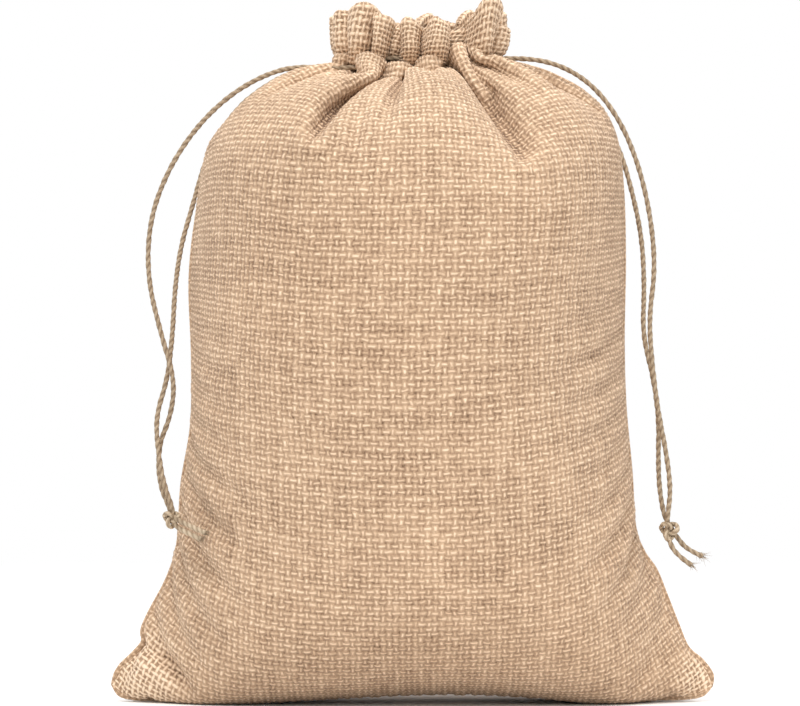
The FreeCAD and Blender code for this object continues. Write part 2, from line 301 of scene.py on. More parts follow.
def add_camera():
    data = bpy.data.cameras.new("photo_view")
    data.sensor_width = SENSOR
    data.lens = SENSOR * VIEW_DISTANCE / VIEW_WIDTH
    camera = link("photo_view", data)
    camera.location = Vector(VIEW_AIM) - Vector((0.0, VIEW_DISTANCE, 0.0))
    camera.rotation_euler = (math.pi / 2, 0.0, 0.0)
    bpy.context.scene.camera = camera


def link(name, data):
    piece = bpy.data.objects.new(name, data)
    bpy.context.collection.objects.link(piece)
    return piece


# ------ materials

def new_material(name):
    material = bpy.data.materials.new(name)
    material.use_nodes = True
    return material


def feed(tree, socket, value):
    """Link a field to a socket, or set the socket to a number."""
    if isinstance(value, Field):
        tree.links.new(value.socket, socket)
    else:
        socket.default_value = value


def add_node(tree, kind, output, inputs, **settings):
    """A new node with its settings and inputs. One of its outputs comes back as a field."""
    node = tree.nodes.new("ShaderNode" + kind)
    for name, value in settings.items():
        setattr(node, name, value)
    for name, value in inputs.items():
        feed(tree, node.inputs[name], value)
    return Field(tree, node.outputs[output])


class Field:
    """What a shader node gives at each point of a surface. Sums and products of fields are nodes too."""

    def __init__(self, tree, socket):
        self.tree = tree
        self.socket = socket

    def math(self, operation, other=0.0):
        return add_node(self.tree, "Math", 0, {0: self, 1: other}, operation=operation)

    def __add__(self, other):
        return self.math("ADD", other)

    def __sub__(self, other):
        return self.math("SUBTRACT", other)

    def __mul__(self, other):
        return self.math("MULTIPLY", other)

    def smooth(self, low, high, to_low=0.0, to_high=1.0):
        """From to_low to to_high as the field goes from low to high, with soft ends."""
        span = {"Value": self, "From Min": low, "From Max": high, "To Min": to_low, "To Max": to_high}
        return add_node(self.tree, "MapRange", 0, span, interpolation_type="SMOOTHSTEP")

    def ramp(self, stops):
        colour = add_node(self.tree, "ValToRGB", "Color", {0: self})
        elements = colour.socket.node.color_ramp.elements
        while len(elements) < len(stops):
            elements.new(0.5)
        for element, (place, paint) in zip(elements, stops):
            element.position = place
            element.color = (*paint, 1.0)
        return colour


class Nodes:
    """Short calls for building a material's node tree."""

    def __init__(self, material):
        self.tree = material.node_tree

    def give(self, **inputs):
        """Set the shader's inputs, whose names are written with _ for a space."""
        for name, value in inputs.items():
            feed(self.tree, self.tree.nodes["Principled BSDF"].inputs[name.replace("_", " ")], value)

    def attribute(self, name, output="Vector"):
        return add_node(self.tree, "Attribute", output, {}, attribute_name=name)

    def position(self):
        return add_node(self.tree, "TexCoord", "Object", {})

    def split(self, vector):
        first = add_node(self.tree, "SeparateXYZ", 0, {0: vector})
        return [Field(self.tree, output) for output in first.socket.node.outputs]

    def join(self, x, y, z):
        return add_node(self.tree, "CombineXYZ", 0, {0: x, 1: y, 2: z})

    def noise(self, vector, scale, detail=3.0, roughness=0.55):
        return add_node(self.tree, "TexNoise", "Fac",
                        {"Vector": vector, "Scale": scale, "Detail": detail, "Roughness": roughness})

    def random(self, x, y, z):
        """A number of its own for each triple of whole numbers."""
        return add_node(self.tree, "TexWhiteNoise", "Value", {"Vector": self.join(x, y, z)})

    def pick(self, factor, low, high):
        """Low where the factor is 0, high where it is 1."""
        return add_node(self.tree, "Mix", 0, {0: factor, 2: low, 3: high})

    def tint(self, amount, colour, paint):
        """A colour multiplied with another, by an amount."""
        return add_node(self.tree, "Mix", 2, {0: amount, 6: colour, 7: paint}, data_type="RGBA",
                        blend_type="MULTIPLY")

    def bump(self, height, distance, strength):
        return add_node(self.tree, "Bump", "Normal",
                        {"Height": height, "Distance": distance, "Strength": strength})


def jute_cloth():
    """Plain weave from the cloth's own thread coordinates: rounded threads with a painted highlight along
    their crests, and painted shade in the gaps between them.
    """
    material = new_material("jute_cloth")
    n = Nodes(material)
    u, v, loose = n.split(n.attribute("weave"))
    warp, weft = u.math("FLOOR"), v.math("FLOOR")
    across = (u - warp - 0.5).math("ABSOLUTE")
    along = (v - weft - 0.5).math("ABSOLUTE")
    warp_wave = (warp * math.pi).math("COSINE") * ((v - 0.5) * math.pi).math("COSINE")
    weft_wave = (weft * math.pi).math("COSINE") * -1.0 * ((u - 0.5) * math.pi).math("COSINE")

    # the threads' own heights: loose ones are thinner, and each differs a little from its neighbours
    warp_random = n.random(warp, 3.0, (v * 0.11).math("FLOOR"))
    weft_random = n.random(7.0, weft, (u * 0.09).math("FLOOR"))
    slack = loose * -0.12
    warp_edge = warp_random * 0.10 + (slack + 0.33) + 0.10
    weft_edge = weft_random * 0.10 + (slack + 0.35) + 0.10
    warp_height = across.smooth(warp_edge, 0.0) * (warp_wave * 0.45 + 0.55)
    weft_height = along.smooth(weft_edge, 0.0) * (weft_wave * 0.45 + 0.55)
    height = warp_height.math("MAXIMUM", weft_height)
    warp_on_top = (warp_height - weft_height).smooth(-0.04, 0.04)
    warp_fibre = n.noise(n.join(u * 8.0, v * 1.9, 0.0), 1.0, 5.0, 0.8)
    weft_fibre = n.noise(n.join(u * 1.9, v * 8.0, 5.0), 1.0, 5.0, 0.8)
    fibre = n.pick(warp_on_top, weft_fibre, warp_fibre)

    # painted highlights along the crests, painted shade in the gaps, in the open weave's gaps and in the
    # cloth's hollows, and slow changes of tone over the cloth
    warp_highlight = across.smooth(0.24, 0.03) * warp_wave.smooth(0.15, 0.80)
    weft_highlight = along.smooth(0.24, 0.03) * weft_wave.smooth(-0.20, 0.50)
    gap = height.smooth(0.34, 0.06)
    parts = {
        "crest": warp_highlight.math("MAXIMUM", weft_highlight) * (n.random(warp, weft, 2.0) * 0.7 + 0.62),
        "gap": gap,
        "fibre": fibre - 0.5,
        "thread": n.pick(warp_on_top, weft_random, warp_random) - 0.5,
        "slubs": n.noise(n.join(u * 0.55, v * 0.55, 9.0), 1.0, 2.0) - 0.5,
        "patches": n.noise(n.position(), 30.0, 3.0) - 0.5,
        "open_gap_shade": gap * loose,
        "loose": loose,
        # painted shade in the cloth's hollows and at the frill's foot
        "hollow": n.attribute("hollow", "Fac"),
    }
    tone = parts["crest"] * CLOTH_TONE["crest"] + CLOTH_GROUND
    for name in list(parts)[1:]:
        tone = parts[name] * CLOTH_TONE[name] + tone
    colour = tone.ramp(CLOTH_COLOURS)
    warm = n.noise(n.position(), 14.0, 2.0) * 0.35
    n.give(Base_Color=n.tint(warm, colour, (1.0, 0.90, 0.80, 1.0)),
           Roughness=tone.smooth(0.2, 1.0, 0.95, 0.78),
           Normal=n.bump(height * 0.7 + fibre * 0.55, 0.35 * MM, 0.8),
           Specular_IOR_Level=0.25, Sheen_Weight=0.12, Sheen_Roughness=0.6)
    return material


def sewing_thread():
    """Fine spun thread, a little paler than the cloth, with its twist showing."""
    material = new_material("thread")
    n = Nodes(material)
    strands = n.noise(n.position(), 2600.0, 2.0)
    n.give(Base_Color=strands.ramp(THREAD_COLOURS), Roughness=strands.smooth(0.2, 0.8, 0.8, 0.6),
           Normal=n.bump(strands, 0.08 * MM, 0.6))
    return material


def jute_twine():
    """Two-ply twine: fibres that follow the plies' lay, and painted shade in the groove where the plies
    meet.
    """
    material = new_material("jute_twine")
    n = Nodes(material)
    around, along, ply = n.split(n.attribute("twine"))
    fibre = n.noise(n.join(around * 5.0, along * 0.35, 0.0), 1.0, 5.0, 0.7)
    blotch = n.noise(n.join(0.0, along * 0.11, 3.0), 1.0, 2.0)
    # painted shade in the plies' groove, with the knots' painted light and the tails' paleness, all from the
    # ply channel
    tone = ply * 0.36 + 0.03 + (fibre * 0.62 + blotch * 0.20)
    n.give(Base_Color=tone.ramp(TWINE_COLOURS), Roughness=fibre.smooth(0.2, 0.8, 0.92, 0.72),
           Normal=n.bump(fibre + ply * 0.6, 0.25 * MM, 0.8), Specular_IOR_Level=0.3)
    return material


# ------ curves

def unit(vectors):
    """Vectors brought to length 1."""
    return vectors / (np.linalg.norm(vectors, axis=-1, keepdims=True) + 1e-9)


def reach_along(path):
    """How far along a path each of its points is."""
    return np.concatenate([[0.0], np.cumsum(np.linalg.norm(np.diff(path, axis=0), axis=1))])


def points_at(path, reach, distances):
    """A path's points at distances along it."""
    return np.stack([np.interp(distances, reach, values) for values in path.T], axis=1)


def evenly(path, count):
    """count points at equal distances along a path."""
    reach = reach_along(path)
    return points_at(path, reach, np.linspace(0.0, reach[-1], count))


def smooth_path(points, count):
    """A smooth curve through a few points, as count points at equal distances."""
    points = np.asarray(points, float)
    padded = np.vstack([2 * points[0] - points[1], points, 2 * points[-1] - points[-2]])
    fine = []
    for a, b, c, d in zip(padded, padded[1:], padded[2:], padded[3:]):
        for t in np.linspace(0.0, 1.0, 24, endpoint=False):
            fine.append(0.5 * (2 * b + (c - a) * t + (2 * a - 5 * b + 4 * c - d) * t ** 2
                               + (3 * b - 3 * c + d - a) * t ** 3))
    fine.append(points[-1])
    return evenly(np.array(fine), count)


def seam_path(seam, count):
    """A seam's curve, which lies in the plane between the two panels."""
    return smooth_path([(x, 0.0, height) for x, height in seam], count)


def gathered_path(pleats, side, left, right, half_depth, cloth, bulb, dome):
    """Gathered cloth round half the neck: folds along half an ellipse, each as deep as its share of the
    cloth needs. The pleats are written as in FRONT_PLEATS."""
    centre, half = (left + right) / 2, (right - left) / 2
    angles = np.linspace(math.pi, 0.0, 600)
    base = np.stack([centre + half * np.cos(angles), side * half_depth * np.sin(angles)], axis=1)
    reach = reach_along(base)
    ends = [np.interp(np.clip(pleat[0], left, right), base[:, 0], reach) for pleat in pleats]
    ends[-1] = reach[-1]
    whole = sum(pleat[1] for pleat in pleats)
    crests = [pleat[3] for pleat in pleats]
    valleys = [(one + two) / 2 - dome for one, two in zip(crests[:1] + crests, crests + crests[-1:])]

    def at(distance, inward):
        way = unit(points_at(base, reach, distance + 0.5) - points_at(base, reach, distance - 0.5))
        normal = np.stack([way[:, 1], -way[:, 0]], axis=1) * side
        return points_at(base, reach, distance) + normal * inward[:, None]

    stretches, start = [], 0.0
    phase = np.linspace(0.0, 1.0, 80)
    valley = 0.5 * (1 + np.cos(2 * math.pi * phase))
    for number, (end, (_, share, inset, crest)) in enumerate(zip(ends, pleats)):
        low, high = 0.0, 40.0
        for _ in range(24):
            fold = (low + high) / 2
            inward = fold * valley + inset * (1 - valley)
            stretch = at(start + (end - start) * (phase - bulb * np.sin(2 * math.pi * phase)), inward)
            length = np.linalg.norm(np.diff(stretch, axis=0), axis=1).sum()
            low, high = (fold, high) if length < share / whole * cloth else (low, fold)
        foot = np.where(phase < 0.5, valleys[number], valleys[number + 1])
        stretches.append(np.column_stack([stretch, crest * (1 - valley) + foot * valley]))
        start = end
    # neighbouring folds meet half way between their two depths
    for before, after in zip(stretches, stretches[1:]):
        middle = (before[-1] + after[0]) / 2
        fade = np.linspace(0.0, 1.0, 20)[:, None]
        before[-len(fade):] += fade * (middle - before[-1])
        after[:len(fade)] += fade[::-1] * (middle - after[0])
    return evenly(np.vstack(stretches), SOLVER_COLUMNS + 1)


# ------ meshes

def make_piece(name, points, faces, material, smooth=True):
    """A piece from points in millimetres."""
    mesh = bpy.data.meshes.new(name)
    mesh.from_pydata((np.reshape(points, (-1, 3)) * MM).tolist(), [], faces)
    mesh.polygons.foreach_set("use_smooth", np.full(len(faces), smooth))
    mesh.materials.append(material)
    return link(name, mesh)


def add_attribute(piece, name, kind, values):
    """Give each point of a piece a value or a vector, for its material to read."""
    layer = piece.data.attributes.new(name, "FLOAT_VECTOR" if kind == "vector" else "FLOAT", "POINT")
    layer.data.foreach_set(kind, np.array(values, np.float32).ravel())


def tube_faces(rings, sides, base=0):
    """The faces of a closed tube, whose rings of points follow each other from the point numbered base."""
    faces = []
    for ring in range(base, base + sides * (rings - 1), sides):
        for a in range(ring, ring + sides):
            b = ring + (a + 1 - ring) % sides
            faces.append((a, b, b + sides, a + sides))
    last = base + sides * (rings - 1)
    return faces + [tuple(reversed(range(base, base + sides))), tuple(range(last, last + sides))]


# ------ the filled panels

def thread_pairs(rows, columns):
    """Which points hold each other, in groups where no point comes twice."""
    index = np.arange(rows * columns).reshape(rows, columns)
    for kind, down, right in (("across", 0, 1), ("along", 1, 0), ("skew", 1, 1), ("skew", 1, -1),
                              ("bend_across", 0, 2), ("bend_along", 2, 0)):
        stride = 4 if kind.startswith("bend") else 2
        for phase in range(stride):
            row = np.arange(rows - down)
            column = np.arange(max(0, -right), columns - max(0, right))
            if down:
                row = row[row % stride == phase]
            else:
                column = column[column % stride == phase]
            r, c = np.meshgrid(row, column, indexing="ij")
            yield kind, index[r, c].ravel(), index[r + down, c + right].ravel()


def neck_ring(pleats, side, turn):
    """The pleats at the neck, and as they turn inwards over the string by an angle."""
    inward = CURL * (1 - math.cos(turn))
    ring = gathered_path(pleats, side, LEFT_SEAM[-1][0] + inward, RIGHT_SEAM[-1][0] - inward,
                         NECK_HALF_DEPTH - inward, FLAT_WIDTH * NECK_CLOTH,
                         NECK_BULB[0] + (NECK_BULB[1] - NECK_BULB[0]) * min(turn, 1.0), NECK_DOME)
    ring[:, 2] -= CURL * (1 - math.sin(turn))
    return ring


def fill_panel(side, pleats, seed):
    """One panel sewn in at its seams, gathered at the neck, and pushed out by what the pouch holds.

    A plain cloth solver: threads keep their length, the weave shears easily, and folds resist a little."""
    rows, columns = SOLVER_ROWS, SOLVER_COLUMNS + 1
    left, right = seam_path(LEFT_SEAM, rows), seam_path(RIGHT_SEAM, rows)
    bottom = seam_path(BOTTOM_SEAM, columns)
    neck = neck_ring(pleats, side, NECK_TURN)
    left[-1], right[-1] = neck[0], neck[-1]

    s = np.linspace(0.0, 1.0, columns)[None, :, None]
    t = np.linspace(0.0, 1.0, rows)[:, None, None]
    place = ((1 - t) * bottom[None] + t * neck[None] + (1 - s) * left[:, None] + s * right[:, None]
             - (1 - t) * (1 - s) * bottom[0] - (1 - t) * s * bottom[-1]
             - t * (1 - s) * neck[0] - t * s * neck[-1])
    swell = START_SWELL * np.sin(math.pi * t ** 0.9) ** 0.55 * np.cos(math.pi * (s - 0.5)) ** 0.7
    place[..., 1] += side * swell[..., 0]
    jitter = np.random.default_rng(seed).normal(0.0, START_JITTER, (rows - 2, columns - 2, 3))
    place[1:-1, 1:-1] += jitter

    free = np.ones((rows, columns))
    free[0] = free[-1] = free[:, 0] = free[:, -1] = 0.0
    free[-2] = 0.3
    free = free.ravel()
    pitch_across = FLAT_WIDTH * EASE / SOLVER_COLUMNS
    pitch_along = BODY_LENGTH / (rows - 1)
    neck_share = np.clip((t[:, 0, 0] - NECK_FROM) / (1.0 - NECK_FROM), 0.0, 1.0)
    drawn_in = 1.0 - (1.0 - NECK_CLOTH) * neck_share ** 1.5
    seam_pitch = (np.linalg.norm(left[1] - left[0]) + np.linalg.norm(right[1] - right[0])) / 2
    inside = np.clip(np.minimum(s[0, :, 0], 1 - s[0, :, 0]) / SEAM_EASE, 0.0, 1.0)
    eased = (seam_pitch * 1.01 + (pitch_along - seam_pitch * 1.01) * inside) / pitch_along
    rest = {"across": pitch_across, "along": pitch_along, "skew": math.hypot(pitch_across, pitch_along),
            "bend_across": BEND_REACH * pitch_across, "bend_along": BEND_REACH * pitch_along}
    ties = []
    for kind, first, second in thread_pairs(rows, columns):
        length = np.full(len(first), rest[kind])
        if "across" in kind:
            length *= drawn_in[first // columns]
        elif "along" in kind:
            length *= eased[first % columns]
        share = free[first] + free[second] + 1e-9
        ties.append((first, second, length, STIFFNESS[kind] * free[first] / share,
                     STIFFNESS[kind] * free[second] / share))

    u = np.linspace(-1.0, 1.0, columns)[None, :]
    v = np.linspace(0.0, 1.0, rows)[:, None]
    # the filling is lumpy
    lumps = np.sin(5.1 * u + 2.0 * np.sin(4.0 * v + seed) + seed) * np.sin(7.3 * v + 1.7 * u + 2 * seed)
    lumps = 1.0 + 0.45 * lumps
    for middle, half, amount in SHOULDER_FILL[side]:
        lumps = lumps + amount * np.exp(-((u - middle) / half) ** 2) * np.clip((v - 0.7) / 0.2, 0.0, 1.0)
    points = place.reshape(-1, 3)
    before = points.copy()
    for _ in range(SOLVER_STEPS):
        shape = points.reshape(rows, columns, 3)
        fullness = np.clip((FILL_TOP - shape[..., 2]) / FILL_FADE, FILL_LEAST, 1.0)
        fullness *= 0.72 + 0.5 * shape[..., 2] / FILL_TOP
        push = FILL_PUSH * (fullness * lumps)[..., None] * outward(shape, side)
        push[..., 2] -= CLOTH_WEIGHT
        speed = (points - before) * SPEED_KEPT
        before = points.copy()
        points = points + (speed + push.reshape(-1, 3)) * free[:, None]
        for _ in range(SOLVER_ROUNDS):
            for first, second, length, pull_first, pull_second in ties:
                gap = points[second] - points[first]
                size = np.sqrt((gap * gap).sum(axis=1)) + 1e-9
                gap *= ((size - length) / size)[:, None]
                points[first] += gap * pull_first[:, None]
                points[second] -= gap * pull_second[:, None]
        crossed = (points[:, 1] * side < SEAM_GAP) & (free > 0)
        points[crossed, 1] = side * SEAM_GAP
        points[:, 2] = np.maximum(points[:, 2], FLOOR_GAP)
    shape = points.reshape(rows, columns, 3)
    curl = [neck_ring(pleats, side, turn) for turn in np.linspace(NECK_TURN, CURL_TURN, 6)[1:]]
    return np.concatenate([shape, np.array(curl)])


def finer(count_in, count_out):
    """A matrix that takes count_in points to count_out points along a smooth curve."""
    matrix = np.zeros((count_out, count_in))
    for row, spot in enumerate(np.linspace(0.0, count_in - 1.0, count_out)):
        k = min(int(spot), count_in - 2)
        t = spot - k
        weights = (-0.5 * t + t ** 2 - 0.5 * t ** 3, 1 - 2.5 * t ** 2 + 1.5 * t ** 3,
                   0.5 * t + 2 * t ** 2 - 1.5 * t ** 3, -0.5 * t ** 2 + 0.5 * t ** 3)
        for offset, weight in zip((-1, 0, 1, 2), weights):
            matrix[row, min(max(k + offset, 0), count_in - 1)] += weight
    return matrix


def refine(shape, rows, columns):
    down, over = finer(shape.shape[0], rows), finer(shape.shape[1], columns)
    return np.einsum("ri,ijk,cj->rck", down, shape, over, optimize=True)


def rows_at(shape, spots):
    """A grid's rows at places between its own, which are counted from 0."""
    low = np.clip(spots.astype(int), 0, len(shape) - 2)
    part = (spots - low)[:, None, None]
    return shape[low] * (1 - part) + shape[low + 1] * part


def outward(shape, side):
    """Each point's normal, away from the inside of the pouch."""
    return unit(np.cross(np.gradient(shape, axis=1), np.gradient(shape, axis=0)) * (-side))


# ------ the weave

def wander(index, along, seed, size):
    """A slow sideways drift along each thread, of its own."""
    phases = np.random.default_rng(seed).uniform(0.0, 6.28, 400)
    phase = phases[np.clip(index, 0, 399).astype(int)]
    return size * (np.sin(0.23 * along + phase) + 0.6 * np.sin(0.61 * along + 2.3 * phase))


def scatter(u, v, seed, size):
    """A small shift of its own at each crossing, blended between crossings."""
    rows, columns = int(v.max() - v.min()) + 3, int(u.max()) + 3
    shifts = np.random.default_rng(seed).normal(0.0, size, (rows, columns))
    across, along = u, v - v.min()
    i, j = along.astype(int), across.astype(int)
    a, b = along - i, across - j
    a, b = a * a * (3 - 2 * a), b * b * (3 - 2 * b)
    return ((1 - a) * ((1 - b) * shifts[i, j] + b * shifts[i, j + 1])
            + a * ((1 - b) * shifts[i + 1, j] + b * shifts[i + 1, j + 1]))


def thread_coordinates(u, v, seed):
    """The weave's own coordinates at each point: whole numbers are the gaps between threads."""
    drift_u = wander(np.floor(u), v, seed, 0.05) + 0.12 * np.sin(0.19 * v + 0.31 * u) * np.sin(0.08 * v)
    drift_v = wander(np.floor(v), u, seed + 1, 0.05) + 0.12 * np.sin(0.21 * u + 0.27 * v) * np.sin(0.07 * u)
    return (u + drift_u + scatter(u, v, seed + 2, THREAD_SCATTER),
            v + drift_v + scatter(u, v, seed + 3, THREAD_SCATTER))


def weave_relief(u, v):
    """Height of the plain weave above the middle of the cloth."""
    warp, weft = np.floor(u), np.floor(v)
    across, along = u - warp - 0.5, v - weft - 0.5
    warp_up = np.cos(math.pi * warp) * np.cos(math.pi * (v - 0.5))
    weft_up = -np.cos(math.pi * weft) * np.cos(math.pi * (u - 0.5))
    warp_section = np.sqrt(np.clip(1.0 - (across / 0.47) ** 2, 0.0, 1.0))
    weft_section = np.sqrt(np.clip(1.0 - (along / 0.48) ** 2, 0.0, 1.0))
    warp_height = WEAVE_WAVE * warp_up + WEAVE_ROUND * warp_section
    weft_height = WEAVE_WAVE * weft_up + WEAVE_ROUND * weft_section
    height = np.maximum(warp_height, weft_height)
    return height - WEAVE_GAP * np.clip((0.12 - np.maximum(warp_section, weft_section)) / 0.12, 0.0, 1.0)


def evened(shape, rounds):
    """A sheet with each point moved towards the mean of its neighbours, the edges kept."""
    mean = shape.copy()
    for _ in range(rounds):
        mean[1:-1] = (mean[:-2] + 2 * mean[1:-1] + mean[2:]) / 4
        mean[:, 1:-1] = (mean[:, :-2] + 2 * mean[:, 1:-1] + mean[:, 2:]) / 4
    return mean


def shade_in_hollows(shape, side):
    """How far each point of a sheet lies in a hollow of the sheet about it, from 0 to 1: how much shade is
    painted there.
    """
    mean = evened(shape, HOLLOW_SHADE_ROUNDS)
    return np.clip(((mean - shape) * outward(mean, side)).sum(axis=2) / HOLLOW_SHADE_DEPTH - 0.15, 0.0, 1.0)


def cloth_mesh(name, shape, weave, hollow, side, material, around=False):
    """A mesh over a grid of points, which carries its thread coordinates, looseness and painted hollow
    shade.
    """
    rows, columns = shape.shape[:2]
    index = np.arange(rows * columns).reshape(rows, columns)
    if around:
        index = np.column_stack([index, index[:, :1]])
    a, b, c, d = index[:-1, :-1], index[:-1, 1:], index[1:, 1:], index[1:, :-1]
    order = (a, b, c, d) if side < 0 else (d, c, b, a)
    faces = np.stack(order, axis=-1).reshape(-1, 4)
    piece = make_piece(name, shape, faces.tolist(), material)
    add_attribute(piece, "weave", "vector", weave)
    add_attribute(piece, "hollow", "value", hollow)
    return piece


def woven(coarse, rows, columns, side, seed, first_row=0.0, loose=0.0):
    """The woven surface over a coarse sheet, with the thread coordinates and the painted hollow shade at
    each point.
    """
    shape = refine(coarse, rows, columns)
    hollow = refine(shade_in_hollows(coarse, side)[..., None], rows, columns)
    v, u = np.meshgrid(np.arange(rows) / THREAD_STEPS, np.arange(columns) / THREAD_STEPS, indexing="ij")
    weave_u, weave_v = thread_coordinates(u, v + first_row, seed)
    edge = np.clip(np.minimum.reduce([u, u.max() - u, v]) / 1.2, 0.0, 1.0)
    shape = shape + outward(shape, side) * (weave_relief(weave_u, weave_v) * edge)[..., None]
    return shape, np.stack([weave_u, weave_v, np.zeros_like(u) + loose], axis=-1), hollow


def crease(coarse, side, word):
    """Press the creases by the foot corners into a panel, and smooth the cloth beside the right one."""
    for start, end, depth in CREASES[word]:
        line = np.subtract(end, start)
        offset = coarse[..., (0, 2)] - start
        part = np.clip(offset @ line / (line @ line), 0.0, 1.0)
        distance = np.linalg.norm(offset - part[..., None] * line, axis=2)
        depths = depth * (1 - 0.7 * part) * np.exp(-(distance / CREASE_WIDTH) ** 2)
        coarse -= outward(coarse, side) * depths[..., None]
    distance = np.hypot(coarse[..., 0] - SMOOTH_SPOT[0], coarse[..., 2] - SMOOTH_SPOT[1])
    near = np.exp(-(distance / SMOOTH_REACH) ** 2)[..., None]
    coarse += near * (evened(coarse, SMOOTH_ROUNDS) - coarse)


def make_panel(side, pleats, seed, word, material, thread):
    """A panel's cloth, cut at the casing's stitches into the panel itself and its casing."""
    coarse = fill_panel(side, pleats, seed)
    crease(coarse, side, word)
    curl_threads = int(round((CURL_TURN - NECK_TURN) * CURL / THREAD_PITCH))
    body = rows_at(coarse[:SOLVER_ROWS], np.linspace(0.0, SOLVER_ROWS - 1.0, WEFT_THREADS + 1))
    curl = coarse[SOLVER_ROWS - 1:]
    curl = rows_at(curl, np.linspace(0.0, len(curl) - 1.0, curl_threads + 1))[1:]
    coarse = np.concatenate([body, curl])
    rows = (WEFT_THREADS + curl_threads) * THREAD_STEPS + 1
    shape, weave, hollow = woven(coarse, rows, WARP_THREADS * THREAD_STEPS + 1, side, seed)
    cut = (WEFT_THREADS - CASING_ROWS) * THREAD_STEPS
    height = np.arange(rows) / THREAD_STEPS
    weave[..., 2] = np.clip((height - WEFT_THREADS + LOOSE_THREADS) / LOOSE_THREADS, 0.0, 0.6)[:, None]
    for (x, z), near, far in EARS:
        distance = np.hypot(shape[..., 0] - x, shape[..., 2] - z)
        looseness = EAR_LOOSE * np.clip((far - distance) / (far - near), 0.0, 1.0)
        weave[..., 2] = np.maximum(weave[..., 2], looseness)
    panel = cloth_mesh(word + "_cloth", shape[:cut + 1], weave[:cut + 1], hollow[:cut + 1], side, material)
    casing = cloth_mesh(word + "_casing_cloth", shape[cut:], weave[cut:], hollow[cut:], side, material)
    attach(panel, "root")
    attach(casing, "root")
    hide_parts(word + "_panel")
    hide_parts(word + "_casing")
    stitches = make_stitches(word, shape[cut], thread)


# ------ seams and stitches

def make_welt(name, node, seam, material):
    """A seam's welt: the panels' edges turned together, a flat roll of cloth along the seam."""
    path = seam_path(seam, 500)
    count = int(reach_along(path)[-1] / THREAD_PITCH) * THREAD_STEPS
    path = evenly(path, count)
    outer = np.cross(unit(np.gradient(path, axis=0)), (0.0, 1.0, 0.0))
    middle = (0.0, 0.0, 110.0)
    outer *= np.sign((outer * (path - middle)).sum())
    turn = np.linspace(0.0, 2 * math.pi, WELT_SIDES, endpoint=False)
    to_end = np.minimum(np.arange(count), np.arange(count)[::-1])
    ends = np.clip(to_end / (2.0 * THREAD_STEPS), 0.02, 1.0) ** 0.5
    v, u = np.meshgrid(np.arange(count) / THREAD_STEPS, np.arange(WELT_SIDES) / THREAD_STEPS, indexing="ij")
    weave_u, weave_v = thread_coordinates(u + 20.0, v, 31)
    size = ends[:, None] * (1.0 + 0.35 * weave_relief(np.floor(u) + 0.5 + (u % 1.0 - 0.5), weave_v))
    shape = (path[:, None] + (WELT_HALF_WIDTH * size * np.cos(turn) - 0.2)[..., None] * outer[:, None]
             + (WELT_HALF_THICKNESS * size * np.sin(turn))[..., None] * np.array([0.0, 1.0, 0.0]))
    weave = np.stack([weave_u, weave_v, np.zeros_like(u)], axis=-1)
    welt = cloth_mesh(name, shape, weave, np.zeros_like(u), FRONT, material, around=True)
    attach(welt, "root")
    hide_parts(node)


def make_stitches(word, row, material):
    """A line of running stitches that holds the casing, along a row of points on the cloth."""
    reach = reach_along(row)
    points, faces = [], []
    turn = np.linspace(0.0, 2 * math.pi, STITCH_SIDES, endpoint=False)
    for start in np.arange(STITCH_SPACING, reach[-1] - STITCH_SPACING, STITCH_SPACING):
        spots = np.linspace(start, start + STITCH_LENGTH, STITCH_RINGS)
        path = points_at(row, reach, spots)
        way = unit(path[-1] - path[0])
        up = unit(np.array([0.0, 0.0, 1.0]) - way * way[2])
        out = np.cross(up, way)
        faces += tube_faces(STITCH_RINGS, STITCH_SIDES, len(points))
        for k, centre in enumerate(path):
            size = STITCH_RADIUS * (0.15 + 0.85 * math.sin(math.pi * k / (STITCH_RINGS - 1)) ** 0.5)
            ring = centre + size * (np.cos(turn)[:, None] * up + np.sin(turn)[:, None] * out)
            points.extend(ring)
    stitches = make_piece(word + "_casing_stitches", points, faces, material)
    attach(stitches, "root")
    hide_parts(word + "_casing_stitching")
    return stitches


# ------ the frill

def frill_lobes(lobes, rise, level):
    """The frill's folds at a share of its height, from 0 at the foot to 1 at the top."""
    return [(foot + (top - foot) * rise, share, inset, level + (height - level) * rise)
            for foot, top, share, inset, height in lobes]


